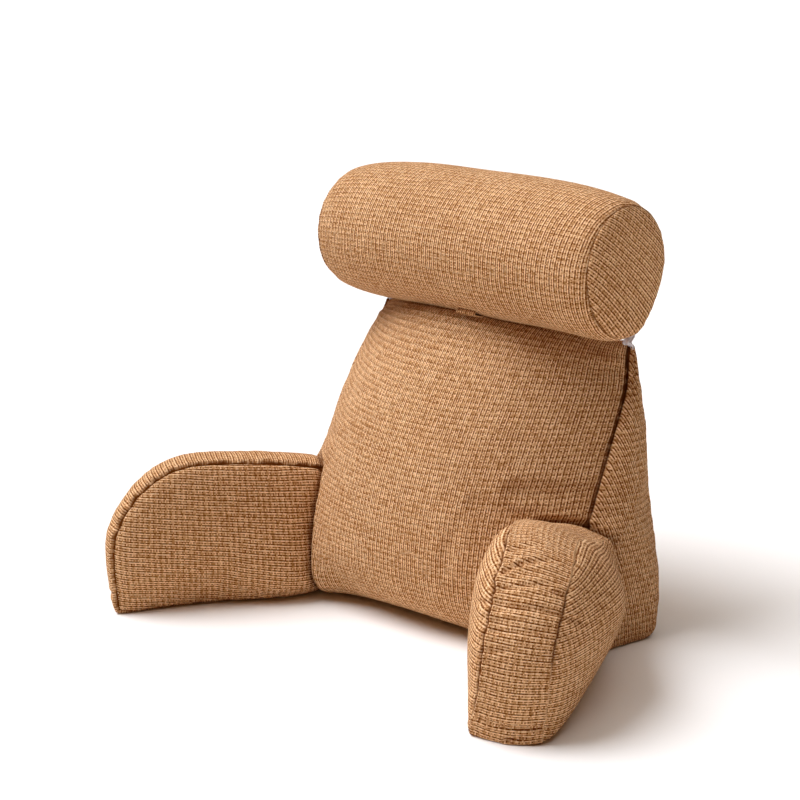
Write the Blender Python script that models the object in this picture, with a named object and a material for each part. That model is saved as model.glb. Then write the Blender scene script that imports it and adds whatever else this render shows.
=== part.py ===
"""A backrest pillow for sitting up: a stuffed wedge with a full belly, two stuffed arms and a neck roll on top.

The cover is sewn from panels. Each panel is a solid of its own, filled as far as the seams that bound it,
so the seams are the narrow gaps between the solids. Metres, +Z up, +Y towards the back.
The origin is on the flat underside of the wedge.
"""

import math

import bmesh
import bpy
from mathutils import Matrix, Vector

# Half of the gap at a seam, the distance within which a strip's points are welded, and the sharpest
# bend that is still shaded as smooth
SEAM_GAP = 0.0003
WELD = 0.00002
SMOOTH_UP_TO = math.radians(40)

# The wedge: its sections from side to side, and how far its side panels puff out
WEDGE_STATIONS = 22
SIDE_PUFF = {"left": 0.010, "right": 0.018}
SIDE_RINGS = 5
POINTS_PER_SPAN = 4

# Side view of the wedge: a row for each point that shapes the loop, from the front foot up over the top.
# The last column is how full the wedge stays towards its side seams.
WEDGE_LOOP = [
    # at the side seams         in the middle
    # x      y       z          y       z      fullness
    (0.246, -0.040, 0.000, -0.018, 0.000, 3.0),
    (0.246, -0.050, 0.014, -0.070, 0.024, 2.8),
    (0.241, -0.025, 0.075, -0.098, 0.082, 2.6),
    (0.231, 0.028, 0.160, -0.092, 0.160, 2.5),
    (0.226, 0.075, 0.240, -0.062, 0.240, 2.4),
    (0.219, 0.120, 0.310, -0.014, 0.315, 2.3),
    (0.207, 0.143, 0.350, 0.040, 0.376, 2.3),
    (0.204, 0.152, 0.362, 0.105, 0.405, 2.3),
    (0.207, 0.158, 0.346, 0.152, 0.378, 2.3),
    (0.228, 0.152, 0.270, 0.178, 0.280, 2.4),
    (0.247, 0.142, 0.170, 0.184, 0.170, 2.6),
    (0.275, 0.125, 0.070, 0.170, 0.070, 3.0),
    (0.286, 0.105, 0.014, 0.150, 0.016, 3.2),
    (0.284, 0.088, 0.000, 0.128, 0.000, 3.2),
    (0.268, 0.030, 0.000, 0.040, 0.000, 3.2),
]
# The loop runs straight over the floor after this row
FLOOR_FROM_ROW = 13
# Where the stuffing pushes the belly forward, and how far; it stays ahead of this y
BELLY_LUMPS = [
    # across  z      spread across  spread up  forward
    (-0.54, 0.012, 0.17, 0.050, 0.026),
]
LUMPS_AHEAD_OF = 0.0

# The arms: the seam foot at the tip, and how far each one swings outwards
ARM_TIPS = {
    "left": (-0.292, -0.301),
    "right": (0.291, -0.283),
}
ARM_SPLAY = {
    "left": math.radians(28.0),
    "right": math.radians(23.0),
}
# How far out each arm leans per metre of height
ARM_LEAN = {"left": 0.0, "right": 0.10}
ARM_SIGN = {"left": -1, "right": 1}
ARM_WIDTH = 0.081
ARM_REACH = 0.330
# The outer seam lies behind the inner one at the tip, and below it at the top
ARM_SET_BACK = {"left": 0.026, "right": 0.014}
ARM_DROP = 0.014
ARM_TOP = 0.198
ARM_TOP_AT_ROOT = 0.158
ARM_TOP_FALL_POWER = 1.6
ARM_FRONT_STRAIGHT = 0.085
ARM_NOSE_LENGTH = 0.115
ARM_FOOT_ROUND = 0.004
ARM_NOSE_STEPS = 9
ARM_TOP_STEPS = 8
ARM_FRONT_STEPS = 4
ARM_BOTTOM_STEPS = 10
ARM_ROOT_STEPS = 5
ARM_MIDDLE = (0.165, 0.085)
BOXING_CROWN = 0.050
BOXING_STATIONS = 6
PUFF = {"inner": {"left": 0.022, "right": 0.036}, "outer": {"left": 0.034, "right": 0.034}}
PUFF_POWER = 1.4
ARM_PUFF_RINGS = 5
ARM_FOOT_RISE = {"inner": 0.50, "outer": 0.90}

# The neck roll, which sits a little askew
ROLL_CENTRE = (0.0, 0.103, 0.478)
ROLL_YAW = math.radians(-3.0)
ROLL_TILT = math.radians(-0.6)
ROLL_RADIUS = 0.0940
ROLL_HALF_LENGTH = 0.234
# The left end is slacker, so its seam is drawn in further
ROLL_SEAM_RADIUS = {"left": 0.0780, "right": 0.0800}
ROLL_BARREL_POWER = {"left": 3.6, "right": 5.0}
ROLL_DROOP = {"left": 0.010, "right": 0.000}
ROLL_PROFILE_STEPS = 14
ROLL_END_PUFF = 0.012
ROLL_END_STEPS = 5
ROLL_AROUND = 56

# The strap of cover cloth under the roll, and the ribbons at the top corners of the wedge
STRAP_WIDTH = 0.030
STRAP_THICK = 0.0026
STRAP_X = 0.018
STRAP_PATH = [(0.090, 0.387), (0.062, 0.3925), (0.0475, 0.3985), (0.056, 0.4040), (0.075, 0.405)]
STRAP_STEPS = 5
RIBBON_WIDTH = 0.014
RIBBON_THICK = 0.0015
RIBBON_X = 0.200
RIBBON_LEAN = 0.28
RIBBON_PATH = [(0.151, 0.354), (0.150, 0.368), (0.142, 0.377), (0.145, 0.390), (0.138, 0.402)]
RIBBON_STEPS = 4

CLOTH = ("cover_cloth", (0.56, 0.33, 0.16), 0.9)
RIBBON = ("white_ribbon", (0.82, 0.80, 0.78), 0.6)


def clear_scene():
    for item in list(bpy.data.objects):
        bpy.data.objects.remove(item)


def collection(name):
    made = bpy.data.collections.new(name)
    bpy.context.scene.collection.children.link(made)
    return made


def material(name, colour, roughness):
    made = bpy.data.materials.get(name)
    if made:
        return made
    made = bpy.data.materials.new(name)
    made.use_nodes = True
    shader = made.node_tree.nodes["Principled BSDF"]
    shader.inputs["Base Color"].default_value = (*colour, 1.0)
    shader.inputs["Roughness"].default_value = roughness
    shader.inputs["Metallic"].default_value = 0.0
    return made


def place(name, mesh, group, finish):
    """Links a mesh as an object, with its origin in its middle."""
    low, high = corners(mesh)
    middle = (low + high) / 2
    mesh.transform(Matrix.Translation(-middle))
    mesh.shade_smooth()
    mesh.set_sharp_from_angle(angle=SMOOTH_UP_TO)
    mesh.materials.append(material(*finish))
    item = bpy.data.objects.new(name, mesh)
    item.location = middle
    group.objects.link(item)
    return item


def corners(mesh):
    low = Vector(min(v.co[i] for v in mesh.vertices) for i in range(3))
    high = Vector(max(v.co[i] for v in mesh.vertices) for i in range(3))
    return low, high


def loft(name, rings):
    """A closed mesh through rings of equally many points, with a fan over each end."""
    bm = bmesh.new()
    rows = [[bm.verts.new(p) for p in ring] for ring in rings]
    around = len(rings[0])
    for row, after in zip(rows, rows[1:]):
        for i in range(around):
            j = (i + 1) % around
            bm.faces.new((row[i], row[j], after[j], after[i]))
    for row in (rows[0], rows[-1]):
        hub = bm.verts.new(sum((v.co for v in row), Vector()) / around)
        for i in range(around):
            bm.faces.new((row[i], row[(i + 1) % around], hub))
    bmesh.ops.triangulate(bm, faces=bm.faces, quad_method="FIXED")
    bmesh.ops.recalc_face_normals(bm, faces=bm.faces)
    mesh = bpy.data.meshes.new(name)
    bm.to_mesh(mesh)
    bm.free()
    return mesh


def swell(mesh, distance):
    """Moves every point of a mesh outwards, for a cutter that leaves a gap."""
    bm = bmesh.new()
    bm.from_mesh(mesh)
    bm.normal_update()
    for vert in bm.verts:
        vert.co += vert.normal * distance
    bm.to_mesh(mesh)
    bm.free()
    return mesh


def cut(item, cutter):
    """Takes a cutter away from an object."""
    modifier = item.modifiers.new("cut by " + cutter.name, "BOOLEAN")
    modifier.operation = "DIFFERENCE"
    modifier.solver = "EXACT"
    modifier.object = cutter


def hide(item):
    item.hide_render = True
    item.display_type = "WIRE"
    return item


def smooth_value(a, b, c, d, t):
    """Catmull-Rom between b and c."""
    return b + 0.5 * t * (c - a + t * (2 * a - 5 * b + 4 * c - d + t * (3 * (b - c) + d - a)))


# The wedge


def wedge_loop():
    """The rows of the table, with smooth points added between them."""
    count = len(WEDGE_LOOP)
    loop = []
    for i in range(count):
        a, b, c, d = (WEDGE_LOOP[(i + k) % count] for k in (-1, 0, 1, 2))
        for step in range(POINTS_PER_SPAN):
            t = step / POINTS_PER_SPAN
            if i >= FLOOR_FROM_ROW:
                loop.append([v + (w - v) * t for v, w in zip(b, c)])
            else:
                loop.append([smooth_value(*four, t) for four in zip(a, b, c, d)])
    return loop


def wedge_ring(across):
    """One section of the wedge: across runs from -1 at the left side seam to 1 at the right one."""
    ring = []
    for x_side, y_side, z_side, y_middle, z_middle, fullness in wedge_loop():
        share = 1 - abs(across) ** fullness
        y = y_side + (y_middle - y_side) * share
        z = max(0.0, z_side + (z_middle - z_side) * share)
        if y < LUMPS_AHEAD_OF:
            y -= sum(lump(across, z, *row) for row in BELLY_LUMPS) * share
        ring.append(Vector((across * x_side, y, z)))
    return ring


def lump(across, z, middle_across, middle_z, spread_across, spread_up, forward):
    away = ((across - middle_across) / spread_across) ** 2 + ((z - middle_z) / spread_up) ** 2
    return forward * math.exp(-away)


def wedge_stations():
    """Sections from seam to seam, closer together near the seams."""
    count = WEDGE_STATIONS
    return [math.sin(math.pi / 2 * (2 * i / count - 1)) for i in range(count + 1)]


def side_rings(side):
    """The rings of a side panel, from its seam to near the top of its puff."""
    sign = ARM_SIGN[side]
    seam = wedge_ring(sign)
    hub = sum(seam, Vector()) / len(seam)
    rings = []
    for i in range(SIDE_RINGS):
        rise = math.sin(math.pi / 2 * i / SIDE_RINGS)
        shrink = math.cos(math.pi / 2 * i / SIDE_RINGS)
        ring = []
        for point in seam:
            moved = hub + (point - hub) * shrink
            moved.x += sign * SIDE_PUFF[side] * rise
            moved.z = max(0.0, moved.z)
            ring.append(moved)
        rings.append(ring)
    return rings


def shifted(rings, along):
    return [[point + along for point in ring] for ring in rings]


def build_wedge(group):
    """The middle of the wedge, under its front and back panels, and its two side panels."""
    rings = [wedge_ring(across) for across in wedge_stations()]
    place("wedge_front_and_back", loft("wedge_front_and_back", rings), group, CLOTH)
    for side, sign in ARM_SIGN.items():
        gap = Vector((sign * SEAM_GAP, 0, 0))
        name = "wedge_side_panel_" + side
        place(name, loft(name, shifted(side_rings(side), gap)), group, CLOTH)


def wedge_cutter(group):
    """The whole wedge, a seam gap larger all round, for trimming what is sewn to it."""
    left = side_rings("left")[:0:-1]
    right = side_rings("right")[1:]
    rings = left + [wedge_ring(across) for across in wedge_stations()] + right
    mesh = swell(loft("wedge_cutter", rings), SEAM_GAP + SEAM_GAP)
    return hide(place("wedge_cutter", mesh, group, CLOTH))


# The arms


def arm_outline():
    """The arm from the side, as (along, up) points: along is 0 at the tip and grows towards the wedge."""
    points = []
    for i in range(ARM_FRONT_STEPS):
        up = ARM_FOOT_ROUND + (ARM_FRONT_STRAIGHT - ARM_FOOT_ROUND) * i / ARM_FRONT_STEPS
        points.append((0.0, up))
    for i in range(ARM_NOSE_STEPS):
        turn = math.pi / 2 * i / ARM_NOSE_STEPS
        along = ARM_NOSE_LENGTH * (1 - math.cos(turn))
        up = ARM_FRONT_STRAIGHT + (ARM_TOP - ARM_FRONT_STRAIGHT) * math.sin(turn)
        points.append((along, up))
    for i in range(ARM_TOP_STEPS):
        share = i / ARM_TOP_STEPS
        along = ARM_NOSE_LENGTH + (ARM_REACH - ARM_NOSE_LENGTH) * share
        points.append((along, ARM_TOP + (ARM_TOP_AT_ROOT - ARM_TOP) * share ** ARM_TOP_FALL_POWER))
    for i in range(ARM_ROOT_STEPS):
        points.append((ARM_REACH, ARM_TOP_AT_ROOT * (1 - i / ARM_ROOT_STEPS)))
    for i in range(ARM_BOTTOM_STEPS + 1):
        along = ARM_REACH + (ARM_FOOT_ROUND - ARM_REACH) * i / ARM_BOTTOM_STEPS
        points.append((along, 0.0))
    return points


def arm_point(side, along, across, up):
    """A place in an arm: across is 0 at the inner seam and 1 at the outer one."""
    sign = ARM_SIGN[side]
    splay = ARM_SPLAY[side]
    along += ARM_SET_BACK[side] * across * (1 - along / ARM_REACH)
    up = max(0.0, up * (1 - across * ARM_DROP / ARM_TOP))
    x, y = ARM_TIPS[side]
    x += sign * (ARM_WIDTH * across * math.cos(splay) - along * math.sin(splay) + ARM_LEAN[side] * up)
    y += ARM_WIDTH * across * math.sin(splay) + along * math.cos(splay)
    return Vector((x, y, up))


def arm_ring(side, scale, across, foot_scale=None):
    """The arm's outline scaled about its middle, at one place across the arm."""
    middle_along, middle_up = ARM_MIDDLE
    ring = []
    for along, up in arm_outline():
        scale_up = foot_scale if foot_scale and up < middle_up else scale
        moved_along = middle_along + (along - middle_along) * scale
        moved_up = middle_up + (up - middle_up) * scale_up
        ring.append(arm_point(side, moved_along, across, moved_up))
    return ring


def puffed_rings(side, face, start):
    """The rings of an arm's inner or outer panel, from its seam to near the top of its puff."""
    outwards = -1 if face == "inner" else 1
    puff = PUFF[face][side]
    rings = []
    for i in range(ARM_PUFF_RINGS):
        turn = math.pi / 2 * i / ARM_PUFF_RINGS
        across = start + outwards * puff * math.sin(turn) ** PUFF_POWER / ARM_WIDTH
        foot_scale = 1 - ARM_FOOT_RISE[face] * (1 - math.cos(turn))
        rings.append(arm_ring(side, math.cos(turn), across, foot_scale))
    return rings


def build_arm(side, group, cutter):
    """An inner panel, a boxing strip over the top and down the front, and an outer panel."""
    gap = SEAM_GAP / ARM_WIDTH
    boxing = []
    for i in range(BOXING_STATIONS + 1):
        across = i / BOXING_STATIONS
        crown = 1 + BOXING_CROWN * (1 - (2 * across - 1) ** 2)
        boxing.append(arm_ring(side, crown, across))
    panels = {
        "inner_panel": puffed_rings(side, "inner", -gap),
        "boxing_strip": boxing,
        "outer_panel": puffed_rings(side, "outer", 1 + gap),
    }
    for panel, rings in panels.items():
        name = "arm_" + side + "_" + panel
        cut(place(name, loft(name, rings), group, CLOTH), cutter)


# The neck roll


def roll_matrix():
    turn = Matrix.Rotation(ROLL_YAW, 4, "Z") @ Matrix.Rotation(ROLL_TILT, 4, "Y")
    return Matrix.Translation(ROLL_CENTRE) @ turn


def roll_side(along):
    return "right" if along > 0 else "left"


def roll_radius(along):
    side = roll_side(along)
    fall = abs(along / ROLL_HALF_LENGTH) ** ROLL_BARREL_POWER[side]
    return ROLL_RADIUS - (ROLL_RADIUS - ROLL_SEAM_RADIUS[side]) * fall


def roll_ring(radius, along):
    """A circle about the roll's line, which droops towards both ends."""
    droop = ROLL_DROOP[roll_side(along)] * (along / ROLL_HALF_LENGTH) ** 2
    matrix = roll_matrix()
    ring = []
    for i in range(ROLL_AROUND):
        turn = 2 * math.pi * i / ROLL_AROUND
        point = Vector((along, radius * math.cos(turn), radius * math.sin(turn) - droop))
        ring.append(matrix @ point)
    return ring


def tube_profile():
    """The roll's long side from its left seam to its right one, as (radius, along)."""
    count = ROLL_PROFILE_STEPS
    places = [-math.cos(math.pi * i / count) for i in range(count + 1)]
    return [(roll_radius(ROLL_HALF_LENGTH * p), ROLL_HALF_LENGTH * p) for p in places]


def end_profile(side, grown=0.0):
    """An end panel from its seam to near the top of its puff, as (radius, along)."""
    points = []
    for i in range(ROLL_END_STEPS):
        turn = math.pi / 2 * i / ROLL_END_STEPS
        radius = (ROLL_SEAM_RADIUS[side] + grown) * math.cos(turn)
        along = ROLL_HALF_LENGTH + SEAM_GAP + grown + ROLL_END_PUFF * math.sin(turn)
        points.append((radius, ARM_SIGN[side] * along))
    return points


def build_roll(group):
    profiles = {"roll_tube": tube_profile()}
    for side in ARM_SIGN:
        profiles["roll_end_panel_" + side] = end_profile(side)
    for name, profile in profiles.items():
        place(name, loft(name, [roll_ring(*point) for point in profile]), group, CLOTH)


def roll_cutter(group):
    """The whole roll, a seam gap larger all round, for the hollow that it presses into the wedge."""
    gap = SEAM_GAP + SEAM_GAP
    tube = [(radius + gap, along) for radius, along in tube_profile()]
    whole = end_profile("left", gap)[::-1] + tube + end_profile("right", gap)
    mesh = loft("roll_cutter", [roll_ring(*point) for point in whole])
    return hide(place("roll_cutter", mesh, group, CLOTH))


# The strap and the ribbons that hold the roll


def strap(name, path, thick, width, x, lean, group, finish):
    """A strip of cloth: a path of (y, z) points with a thickness, as wide as it is along X.

    It leans towards +X by its lean for each metre that it rises above the start of its path.
    """
    ahead, behind = [], []
    for i, point in enumerate(path):
        before = Vector(path[max(i - 1, 0)])
        after = Vector(path[min(i + 1, len(path) - 1)])
        along = (after - before).normalized()
        aside = Vector((-along.y, along.x)) * thick / 2
        ahead.append(Vector(point) + aside)
        behind.append(Vector(point) - aside)
    outline = ahead + behind[::-1]
    curve = bpy.data.curves.new(name, "CURVE")
    curve.dimensions = "2D"
    curve.fill_mode = "BOTH"
    curve.extrude = width / 2
    spline = curve.splines.new("POLY")
    spline.points.add(len(outline) - 1)
    for target, point in zip(spline.points, outline):
        target.co = (point.x, point.y, 0.0, 1.0)
    spline.use_cyclic_u = True
    item = bpy.data.objects.new(name, curve)
    group.objects.link(item)
    bpy.context.view_layer.update()
    # The curve's X, Y and Z become the mesh's Y, Z and X.
    start_x = x - lean * path[0][1]
    matrix = Matrix(((0, lean, 1, start_x), (1, 0, 0, 0), (0, 1, 0, 0), (0, 0, 0, 1)))
    return meshed(item, matrix, group, finish)


def meshed(item, matrix, group, finish):
    """The mesh object of a curve object, with its caps welded on, moved by a matrix."""
    name = item.name
    graph = bpy.context.evaluated_depsgraph_get()
    mesh = bpy.data.meshes.new_from_object(item.evaluated_get(graph))
    bpy.data.objects.remove(item)
    bm = bmesh.new()
    bm.from_mesh(mesh)
    bmesh.ops.remove_doubles(bm, verts=bm.verts, dist=WELD)
    bmesh.ops.recalc_face_normals(bm, faces=bm.faces)
    bm.to_mesh(mesh)
    bm.free()
    mesh.materials.clear()
    mesh.transform(matrix)
    return place(name, mesh, group, finish)


def curved_path(keys, steps):
    """A smooth run of points through a few chosen ones."""
    ends = [keys[0]] + keys + [keys[-1]]
    path = []
    for a, b, c, d in zip(ends, ends[1:], ends[2:], ends[3:]):
        for i in range(steps):
            t = i / steps
            path.append(tuple(smooth_value(a[k], b[k], c[k], d[k], t) for k in (0, 1)))
    return path + [keys[-1]]


def build_straps(group, cutters):
    path = curved_path(STRAP_PATH, STRAP_STEPS)
    made = [strap("roll_strap", path, STRAP_THICK, STRAP_WIDTH, STRAP_X, 0.0, group, CLOTH)]
    path = curved_path(RIBBON_PATH, RIBBON_STEPS)
    for side, sign in ARM_SIGN.items():
        name = "roll_ribbon_" + side
        x, lean = sign * RIBBON_X, sign * RIBBON_LEAN
        made.append(strap(name, path, RIBBON_THICK, RIBBON_WIDTH, x, lean, group, RIBBON))
    for item in made:
        for cutter in cutters:
            cut(item, cutter)


def main():
    clear_scene()
    parts = collection("backrest_pillow")
    helpers = collection("cutters")
    wedge = wedge_cutter(helpers)
    roll = roll_cutter(helpers)
    build_wedge(parts)
    for item in list(parts.objects):
        cut(item, roll)
    for side in ARM_SIGN:
        build_arm(side, parts, wedge)
    build_roll(parts)
    build_straps(parts, (wedge, roll))


main()
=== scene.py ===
"""The look of the backrest pillow: each panel of the cover as stuffed, sewn and creased cloth.

Every piece follows the form of its CAD node, at a finer step, with its panel's own thread directions in its
UV map. The four stuffed forms are blown up with Cloth between their seams, then the seams are drawn in, the
puckers and creases are laid on, and the forms are split into their panels. Metres, +Z up, +Y to the back.
"""

import math

import bmesh
import bpy
import numpy as np
from mathutils import Matrix, Vector, noise
from mathutils.bvhtree import BVHTree


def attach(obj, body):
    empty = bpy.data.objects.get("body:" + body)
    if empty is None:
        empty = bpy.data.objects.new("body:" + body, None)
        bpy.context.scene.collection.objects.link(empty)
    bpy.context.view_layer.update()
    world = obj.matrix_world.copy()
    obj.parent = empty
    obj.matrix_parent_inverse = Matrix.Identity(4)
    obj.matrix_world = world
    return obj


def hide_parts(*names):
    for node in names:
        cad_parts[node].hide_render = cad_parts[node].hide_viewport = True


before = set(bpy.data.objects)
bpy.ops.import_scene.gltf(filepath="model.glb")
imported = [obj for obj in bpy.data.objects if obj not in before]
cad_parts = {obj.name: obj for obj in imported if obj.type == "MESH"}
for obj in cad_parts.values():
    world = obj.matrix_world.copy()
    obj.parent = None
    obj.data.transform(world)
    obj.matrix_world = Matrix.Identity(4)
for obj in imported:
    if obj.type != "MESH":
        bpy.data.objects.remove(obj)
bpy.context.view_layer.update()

SIGN = {"left": -1, "right": 1}

# ---------------------------------------------------------------- the forms, as in the part

WEDGE_LOOP = [
    (0.246, -0.040, 0.000, -0.018, 0.000, 3.0),
    (0.246, -0.050, 0.014, -0.070, 0.024, 2.8),
    (0.241, -0.025, 0.075, -0.098, 0.082, 2.6),
    (0.231, 0.028, 0.160, -0.092, 0.160, 2.5),
    (0.226, 0.075, 0.240, -0.062, 0.240, 2.4),
    (0.219, 0.120, 0.310, -0.014, 0.315, 2.3),
    (0.207, 0.143, 0.350, 0.040, 0.376, 2.3),
    (0.204, 0.152, 0.362, 0.105, 0.405, 2.3),
    (0.207, 0.158, 0.346, 0.152, 0.378, 2.3),
    (0.228, 0.152, 0.270, 0.178, 0.280, 2.4),
    (0.247, 0.142, 0.170, 0.184, 0.170, 2.6),
    (0.275, 0.125, 0.070, 0.170, 0.070, 3.0),
    (0.286, 0.105, 0.014, 0.150, 0.016, 3.2),
    (0.284, 0.088, 0.000, 0.128, 0.000, 3.2),
    (0.268, 0.030, 0.000, 0.040, 0.000, 3.2),
]
FLOOR_FROM_ROW = 13
STEPS_PER_ROW = 24
SIDE_PUFF = {"left": 0.010, "right": 0.018}
BELLY_LUMP = (-0.54, 0.012, 0.17, 0.050, 0.026)

ARM_TIPS = {"left": (-0.292, -0.301), "right": (0.291, -0.283)}
ARM_SPLAY = {"left": math.radians(28.0), "right": math.radians(23.0)}
ARM_LEAN = {"left": 0.0, "right": 0.10}
ARM_WIDTH = 0.081
ARM_REACH = 0.330
ARM_SET_BACK = {"left": 0.026, "right": 0.014}
ARM_DROP = 0.014
ARM_TOP = 0.198
ARM_TOP_AT_ROOT = 0.158
ARM_TOP_FALL_POWER = 1.6
ARM_FRONT_STRAIGHT = 0.085
ARM_NOSE_LENGTH = 0.115
ARM_FOOT_ROUND = 0.004
# The way over the bevel at the foot of the arm's front
ARM_FOOT_BEVEL = 0.0057
ARM_MIDDLE = (0.165, 0.085)
BOXING_CROWN = 0.050
PUFF = {"inner": {"left": 0.022, "right": 0.036}, "outer": {"left": 0.034, "right": 0.034}}
PUFF_POWER = 1.4
# How full the panels' lower halves are: the smaller, the fuller
ARM_FOOT_POWER = {"inner": 0.65, "outer": 0.90}

ROLL_CENTRE = (0.0, 0.103, 0.4795)
ROLL_YAW = math.radians(-3.0)
ROLL_TILT = math.radians(-0.6)
ROLL_RADIUS = 0.0940
ROLL_HALF_LENGTH = 0.234
ROLL_SEAM_RADIUS = {"left": 0.0780, "right": 0.0800}
ROLL_BARREL_POWER = {"left": 4.6, "right": 4.0}
ROLL_DROOP = {"left": 0.010, "right": 0.000}
ROLL_END_PUFF = 0.012

# Half of the gap that is left between two panels at a seam, and how deep the seam allowance is turned in
SEAM_GAP = 0.00025
TURNED_IN = 0.007
# How far an arm reaches into the wedge
CUT_DEPTH = 0.004

# Where the stuffing pushes a form out of its plain shape: (centre, reach, move). The arms' centres are given
# along, across and up the arm.
WEDGE_PUSHES = [
    ((-0.236, 0.05, 0.15), 0.095, (0.005, 0.0, 0.0)),
    ((-0.030, -0.085, 0.005), 0.150, (0.000, -0.011, 0.0)),
    ((0.195, 0.182, 0.358), 0.030, (0.000, 0.000, 0.014)),
]
ROLL_PUSHES = [
    ((0.225, 0.060, 0.400), 0.060, (0.002, -0.004, -0.007)),
    ((-0.200, 0.060, 0.565), 0.060, (-0.002, 0.000, 0.004)),
    ((0.232, 0.115, 0.402), 0.036, (0.003, 0.003, -0.009)),
]
ARM_PUSHES = {
    "right": [
        ((0.180, 1.00, 0.180), 0.070, (-0.022, -0.006, 0.004)),
        ((0.170, 0.30, 0.185), 0.075, (-0.009, -0.004, 0.015)),
        ((0.255, 1.05, 0.165), 0.075, (-0.004, 0.000, -0.009)),
        ((0.000, 0.00, 0.000), 0.050, (-0.014, 0.010, 0.000)),
        ((0.175, 1.38, 0.140), 0.070, (0.030, 0.008, 0.004)),
        ((0.120, -0.35, 0.150), 0.060, (-0.004, -0.003, 0.003)),
    ],
    "left": [
        ((0.240, -0.35, 0.030), 0.090, (0.028, -0.015, 0.000)),
        ((0.000, 0.50, 0.080), 0.060, (-0.0035, -0.0066, 0.000)),
        ((0.290, 0.50, 0.170), 0.080, (0.000, 0.000, 0.005)),
    ],
}


def bell(distance, width):
    """1 at no distance, falling away over about that width."""
    return np.exp(-((distance / width) ** 2))


def pushed(points, rows):
    out = points.copy()
    for centre, reach, move in rows:
        share = bell(np.linalg.norm(points - np.asarray(centre), axis=1), reach)
        out += share[:, None] * np.asarray(move)
    out[:, 2] = np.maximum(out[:, 2], 0.0) * (points[:, 2] > 0)
    return out


def smooth_value(a, b, c, d, t):
    return b + 0.5 * t * (c - a + t * (2 * a - 5 * b + 4 * c - d + t * (3 * (b - c) + d - a)))


def evenly(points, count):
    """A closed line's rows of numbers, resampled to equal steps along the line of their first two columns."""
    rows = np.array(points + points[:1], float)
    steps = np.linalg.norm(np.diff(rows[:, :2], axis=0), axis=1)
    far = np.concatenate([[0.0], np.cumsum(steps)])
    wanted = np.linspace(0, far[-1], count + 1)
    out = np.stack([np.interp(wanted, far, rows[:, k]) for k in range(rows.shape[1])], 1)
    return out, wanted


def graded(length, fine, coarse):
    """Places from 0 to length, with fine steps at both ends that grow to coarse ones."""
    places, step = [0.0], fine
    while places[-1] < length / 2:
        places.append(places[-1] + step)
        step = min(coarse, step * 1.35)
    half = np.array(places) * (length / 2 / places[-1])
    return np.concatenate([half, (length - half[::-1])[1:]])


def graded_dome(rings, fine_share):
    """Angles from 0 at a seam to nearly a right angle at a hub, with finer steps near the seam."""
    spread = np.linspace(0, 1, rings + 1)[:-1]
    return np.append((spread ** (1 + fine_share)) * math.pi / 2, [math.radians(86), math.radians(88.6)])


# The wedge


def wedge_rows(count):
    """The table's rows with smooth points between them, at equal steps round the middle section."""
    total = len(WEDGE_LOOP)
    dense = []
    for i in range(total):
        a, b, c, d = (WEDGE_LOOP[(i + k) % total] for k in (-1, 0, 1, 2))
        for step in range(STEPS_PER_ROW):
            t = step / STEPS_PER_ROW
            if i >= FLOOR_FROM_ROW:
                row = [v + (w - v) * t for v, w in zip(b, c)]
            else:
                row = [smooth_value(*four, t) for four in zip(a, b, c, d)]
            mean_y, mean_z = (row[1] + row[3]) / 2, (row[2] + row[4]) / 2
            dense.append([mean_y, mean_z, *row])
    # The loop starts in the middle of the floor, so that nothing that wraps round it shows.
    start = int((FLOOR_FROM_ROW + 1.2) * STEPS_PER_ROW)
    dense = dense[start:] + dense[:start]
    rows, far = evenly(dense, count)
    return rows[:, 2:], far


def wedge_ring(rows, across):
    x_side, y_side, z_side, y_middle, z_middle, fullness = rows.T
    share = 1 - np.abs(across) ** fullness
    y = y_side + (y_middle - y_side) * share
    z = np.maximum(0.0, z_side + (z_middle - z_side) * share)
    at, height, wide, tall, forward = BELLY_LUMP
    away = ((across - at) / wide) ** 2 + ((z - height) / tall) ** 2
    y = np.where(y < 0, y - forward * np.exp(-away) * share, y)
    return pushed(np.stack([across * x_side, y, z], 1), WEDGE_PUSHES)


# The arms


def arm_outline(count):
    points = []
    for i in range(20):
        points.append((0.0, ARM_FOOT_ROUND + (ARM_FRONT_STRAIGHT - ARM_FOOT_ROUND) * i / 20))
    for i in range(40):
        turn = math.pi / 2 * i / 40
        along = ARM_NOSE_LENGTH * (1 - math.cos(turn))
        points.append((along, ARM_FRONT_STRAIGHT + (ARM_TOP - ARM_FRONT_STRAIGHT) * math.sin(turn)))
    for i in range(40):
        share = i / 40
        along = ARM_NOSE_LENGTH + (ARM_REACH - ARM_NOSE_LENGTH) * share
        points.append((along, ARM_TOP + (ARM_TOP_AT_ROOT - ARM_TOP) * share**ARM_TOP_FALL_POWER))
    for i in range(20):
        points.append((ARM_REACH, ARM_TOP_AT_ROOT * (1 - i / 20)))
    for i in range(20):
        points.append((ARM_REACH + (ARM_FOOT_ROUND - ARM_REACH) * i / 20, 0.0))
    points = points[-10:] + points[:-10]
    rows, far = evenly(points, count)
    return rows, far - (ARM_REACH - ARM_FOOT_ROUND) / 2 - ARM_FOOT_BEVEL


def arm_place(side, along, across, up):
    sign, splay = SIGN[side], ARM_SPLAY[side]
    along = along + ARM_SET_BACK[side] * across * (1 - along / ARM_REACH)
    up = np.maximum(0.0, up * (1 - across * ARM_DROP / ARM_TOP))
    x, y = ARM_TIPS[side]
    x = x + sign * (ARM_WIDTH * across * math.cos(splay) - along * math.sin(splay) + ARM_LEAN[side] * up)
    y = y + ARM_WIDTH * across * math.sin(splay) + along * math.cos(splay)
    return np.stack([x, y, up], 1)


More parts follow.
